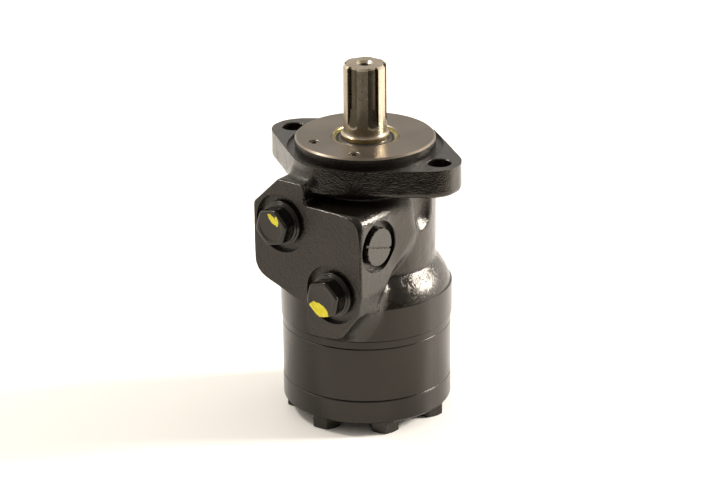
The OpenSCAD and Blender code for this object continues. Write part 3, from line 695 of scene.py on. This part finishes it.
def finish_housing(housing):
    """Gives each face of the machined casting its finish, by where it lies."""
    mesh = housing.data
    mesh.materials.clear()
    cast, faced, turned, bare = range(4)
    finishes = [FINISH["black_enamel"], faced_enamel(), FINISH["black_turned"], faced_iron()]
    for finish in finishes:
        mesh.materials.append(finish)
    n = len(mesh.polygons)
    centre, normal = np.empty(n * 3, np.float32), np.empty(n * 3, np.float32)
    mesh.polygons.foreach_get("center", centre)
    mesh.polygons.foreach_get("normal", normal)
    c, d = centre.reshape(-1, 3) / MM, normal.reshape(-1, 3)
    r = np.hypot(c[:, 0], c[:, 1])
    kind = np.full(n, cast, np.int32)
    kind[(c[:, 1] < PORT_FACE_Y + 4) & (d[:, 1] < -0.99)] = faced
    kind[(c[:, 0] < SIDE_FACE_X - 0.5) & (c[:, 0] > DRAIN[0] - 0.5) & (d[:, 0] > 0.99)] = faced
    on_top = c[:, 2] > -GROOVE_DEPTH - 0.05
    kind[on_top & (d[:, 2] > 0.99)] = faced
    kind[on_top & (r < GROOVE_R + 0.1)] = faced
    kind[(c[:, 2] < TURNED_TOP + 0.3) & (r > BODY_R - 1) & (r < BODY_R + 0.05)] = turned
    kind[c[:, 2] > PILOT_TOP - 1.05] = bare
    kind[r < SEAL_BORE_R + 1.5] = bare
    mesh.polygons.foreach_set("material_index", kind)
    mesh.shade_smooth()
    mesh.set_sharp_from_angle(angle=math.radians(38))
    flat = (kind != cast) & (np.abs(d).max(1) > 0.9999)
    mesh.polygons.foreach_set("use_smooth", ~flat)


skin = new_object("housing_skin", cast_skin(0.8))
machine(skin)
finish_housing(skin)
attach(skin, BODY)
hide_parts("housing")


# ---------------------------------------------------------------- port plugs
def hexagon(across_flats, corner_r, turn, inset=0.0, segments=180):
    """Radius of a soft-cornered hexagon at each angle; the corners are cut to corner_r."""
    angle = np.linspace(0, 2 * math.pi, segments, endpoint=False) - math.radians(turn)
    off_flat = np.mod(angle, math.pi / 3) - math.pi / 6
    flat = (across_flats / 2 - inset) / np.cos(off_flat)
    return -0.3 * np.logaddexp(-flat / 0.3, -(corner_r - inset + 0.1) / 0.3)


def port_plug(name, port, turn, daubs):
    """A moulded plug: shank, sealing flange, collar and hexagonal head with a dished top."""
    def head(inset):
        return hexagon(20.6, 11.3, turn, inset)

    rows = [
        (0, -11), (8.4, -11), (9.2, -10.2), (9.2, 1.4), (13.15, 1.4), (13.4, 1.65), (13.4, 2.65),
        (13.15, 2.9), (12.3, 2.9), (12.1, 3.1), (12.1, 3.7), (11.9, 3.95), (head(0.25), 4.05),
        (head(0.0), 4.4), (head(0.0), 11.2), (head(0.06), 11.7), (head(0.25), 12.1),
        (head(0.6), 12.35), (head(1.1), 12.45), (8.0, 12.48), (7.6, 12.3), (7.1, 12.22), (0, 12.22),
    ]
    plug = new_object(name + "_moulding", revolved(name, rows, 180, along_y(*port)))
    plug.data.shade_smooth()
    plug.data.set_sharp_from_angle(angle=math.radians(50))
    plug.data.materials.append(moulded_plastic(name + "_plastic", [
        (port[0] + x, port[2] + z, long, wide, lean) for x, z, long, wide, lean in daubs]))
    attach(plug, BODY)
    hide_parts(name)


port_plug("port_plug_a", PORT_A, 14, [
    (1.1, 5.6, 4.0, 1.7, -47), (4.3, 5.0, 3.1, 1.25, 95)])
port_plug("port_plug_b", PORT_B, 18, [(-2.0, -6.4, 6.9, 3.8, -20)])


# ---------------------------------------------------------------- hole in the shaft's end
def shaft_thread():
    """The tapped hole as a thin sleeve: a helical groove, and a chamfered lip in the mouth."""
    turn = np.linspace(0, 1, 96, endpoint=False)
    rows = [(0, THREAD_LOW), (0.01, THREAD_LOW)]
    for z in np.arange(THREAD_LOW, THREAD_HIGH, THREAD_PITCH / 8):
        wave = np.abs(np.mod(z / THREAD_PITCH + turn, 1) - 0.5) * 2
        rows.append((THREAD_CREST_R + (THREAD_BORE_R - THREAD_CREST_R) * wave, z))
    outside_r, under = THREAD_BORE_R + 0.01, THREAD_LOW - 0.2
    rows += [
        (THREAD_BORE_R, THREAD_HIGH), (THREAD_BORE_R, SHAFT_TOP - LIP_CHAMFER),
        (THREAD_BORE_R + LIP_CHAMFER, SHAFT_TOP), (MOUTH_TOP_R - LIP_GAP, SHAFT_TOP),
        (MOUTH_LOW_R - LIP_GAP, SHAFT_TOP - MOUTH_DEPTH + LIP_GAP),
        (outside_r, SHAFT_TOP - MOUTH_DEPTH), (outside_r, under), (0, under),
    ]
    sleeve = new_object("shaft_end_thread", revolved("shaft_end_thread", rows, 96))
    sleeve.data.shade_smooth()
    sleeve.data.set_sharp_from_angle(angle=math.radians(40))
    sleeve.data.materials.append(oiled_thread())
    sleeve.data.materials.append(FINISH["shaft_steel"])
    for face in sleeve.data.polygons:
        face.material_index = int(face.center.z > (SHAFT_TOP - LIP_CHAMFER) * MM)
    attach(sleeve, "shaft")


shaft_thread()


# ---------------------------------------------------------------- camera and studio
VIEW_AZIMUTH = math.radians(37.205)
LAMP_COLOUR = (1.0, 0.96, 0.90)


def camera():
    """A long lens 22 degrees above the horizon, turned 37 degrees round from the ports."""
    azimuth, elevation, roll = VIEW_AZIMUTH, math.radians(22.028), math.radians(-0.510)
    distance, target = 1.6665, Vector((0, 0, -0.060))
    aside, aloft = 0.003576, 0.000330
    back = Vector((math.sin(azimuth) * math.cos(elevation), -math.cos(azimuth) * math.cos(elevation),
                   math.sin(elevation)))
    right = Vector((math.cos(azimuth), math.sin(azimuth), 0))
    up = back.cross(right)
    across = math.cos(roll) * right + math.sin(roll) * up
    above = -math.sin(roll) * right + math.cos(roll) * up
    data = bpy.data.cameras.new("camera")
    data.lens, data.sensor_width = 140.70, 36
    data.clip_start, data.clip_end = 0.1, 30
    obj = bpy.data.objects.new("camera", data)
    bpy.context.scene.collection.objects.link(obj)
    turn = Matrix((across, above, back)).transposed().to_4x4()
    place = target + distance * back - aside * across - aloft * above
    obj.matrix_world = Matrix.Translation(place) @ turn
    bpy.context.scene.camera = obj


def lamp(name, place, target, size, power):
    data = bpy.data.lights.new(name, "AREA")
    data.shape, data.size, data.size_y = "RECTANGLE", size[0], size[1]
    data.energy, data.color = power, LAMP_COLOUR
    obj = bpy.data.objects.new(name, data)
    bpy.context.scene.collection.objects.link(obj)
    obj.location = place
    obj.rotation_euler = (Vector(target) - Vector(place)).to_track_quat("-Z", "Y").to_euler()


def room():
    """A bright room: windows back right, a pale wall to the left, dark behind the camera."""
    world = bpy.data.worlds.new("room")
    world.use_nodes = True
    bpy.context.scene.world = world
    tree = world.node_tree
    link = tree.links.new

    def node(kind, **values):
        made = tree.nodes.new(kind)
        for key, value in values.items():
            setattr(made, key, value)
        return made

    direction = node("ShaderNodeTexCoord").outputs["Generated"]
    least = 0.15
    total = None
    for toward, start, end, strength in (
        ((0.55, 0.80, 0.05), 0.58, 1.00, 2.1),
        ((-0.96, -0.20, 0.05), 0.30, 1.00, 1.2),
        ((-0.50, 0.85, 0.10), 0.30, 0.95, 0.45),
        ((0.0, 0.0, 1.0), 0.05, 0.80, 0.40),
    ):
        dot = node("ShaderNodeVectorMath", operation="DOT_PRODUCT")
        link(direction, dot.inputs[0])
        dot.inputs[1].default_value = Vector(toward).normalized()
        share = node("ShaderNodeMapRange", interpolation_type="SMOOTHSTEP")
        share.inputs["From Min"].default_value = start
        share.inputs["From Max"].default_value = end
        share.inputs["To Max"].default_value = strength
        link(dot.outputs["Value"], share.inputs["Value"])
        add = node("ShaderNodeMath", operation="ADD")
        link(share.outputs["Result"], add.inputs[0])
        if total is None:
            add.inputs[1].default_value = least
        else:
            link(total, add.inputs[1])
        total = add.outputs[0]
    light = tree.nodes["Background"]
    light.inputs["Color"].default_value = (1.0, 0.945, 0.875, 1)
    link(total, light.inputs["Strength"])
    paper = node("ShaderNodeBackground")
    paper.inputs["Color"].default_value = (1.0, 0.947, 0.880, 1)
    paths, choose = node("ShaderNodeLightPath"), node("ShaderNodeMixShader")
    link(paths.outputs["Is Camera Ray"], choose.inputs[0])
    link(light.outputs[0], choose.inputs[1])
    link(paper.outputs[0], choose.inputs[2])
    link(choose.outputs[0], tree.nodes["World Output"].inputs["Surface"])


def studio():
    """A pale table top and two soft lights."""
    table_low = (-4.0, -0.32, -0.03)
    table_high = (4.0, 6.0, 0.0)
    bm = bmesh.new()
    bmesh.ops.create_cube(bm, size=1)
    for v in bm.verts:
        v.co = Vector([table_low[k] if v.co[k] < 0 else table_high[k] for k in range(3)])
    mesh = bpy.data.meshes.new("table")
    bm.to_mesh(mesh)
    bm.free()
    table = new_object("table", mesh)
    table.rotation_euler.z = VIEW_AZIMUTH
    table.location.z = cad_box[0].z
    m = Nodes("table_paper")
    m.set(Base_Color=m.mix(m.noise(300, 2, 0.5), (0.90, 0.872, 0.832), (0.92, 0.894, 0.856)),
          Roughness=m.ramp(m.noise(60, 2, 0.5), 0.40, 0.48), Specular_IOR_Level=0.12)
    mesh.materials.append(m.material)

    room()
    lamp("window", (0.84, 0.76, 0.40), (0, 0, -0.06), (0.30, 0.25), 27.0)
    lamp("left_light", (-0.75, -0.32, 0.92), (0, 0, -0.04), (0.26, 0.18), 8.0)
    bpy.context.scene.view_settings.view_transform = "Standard"


camera()
studio()
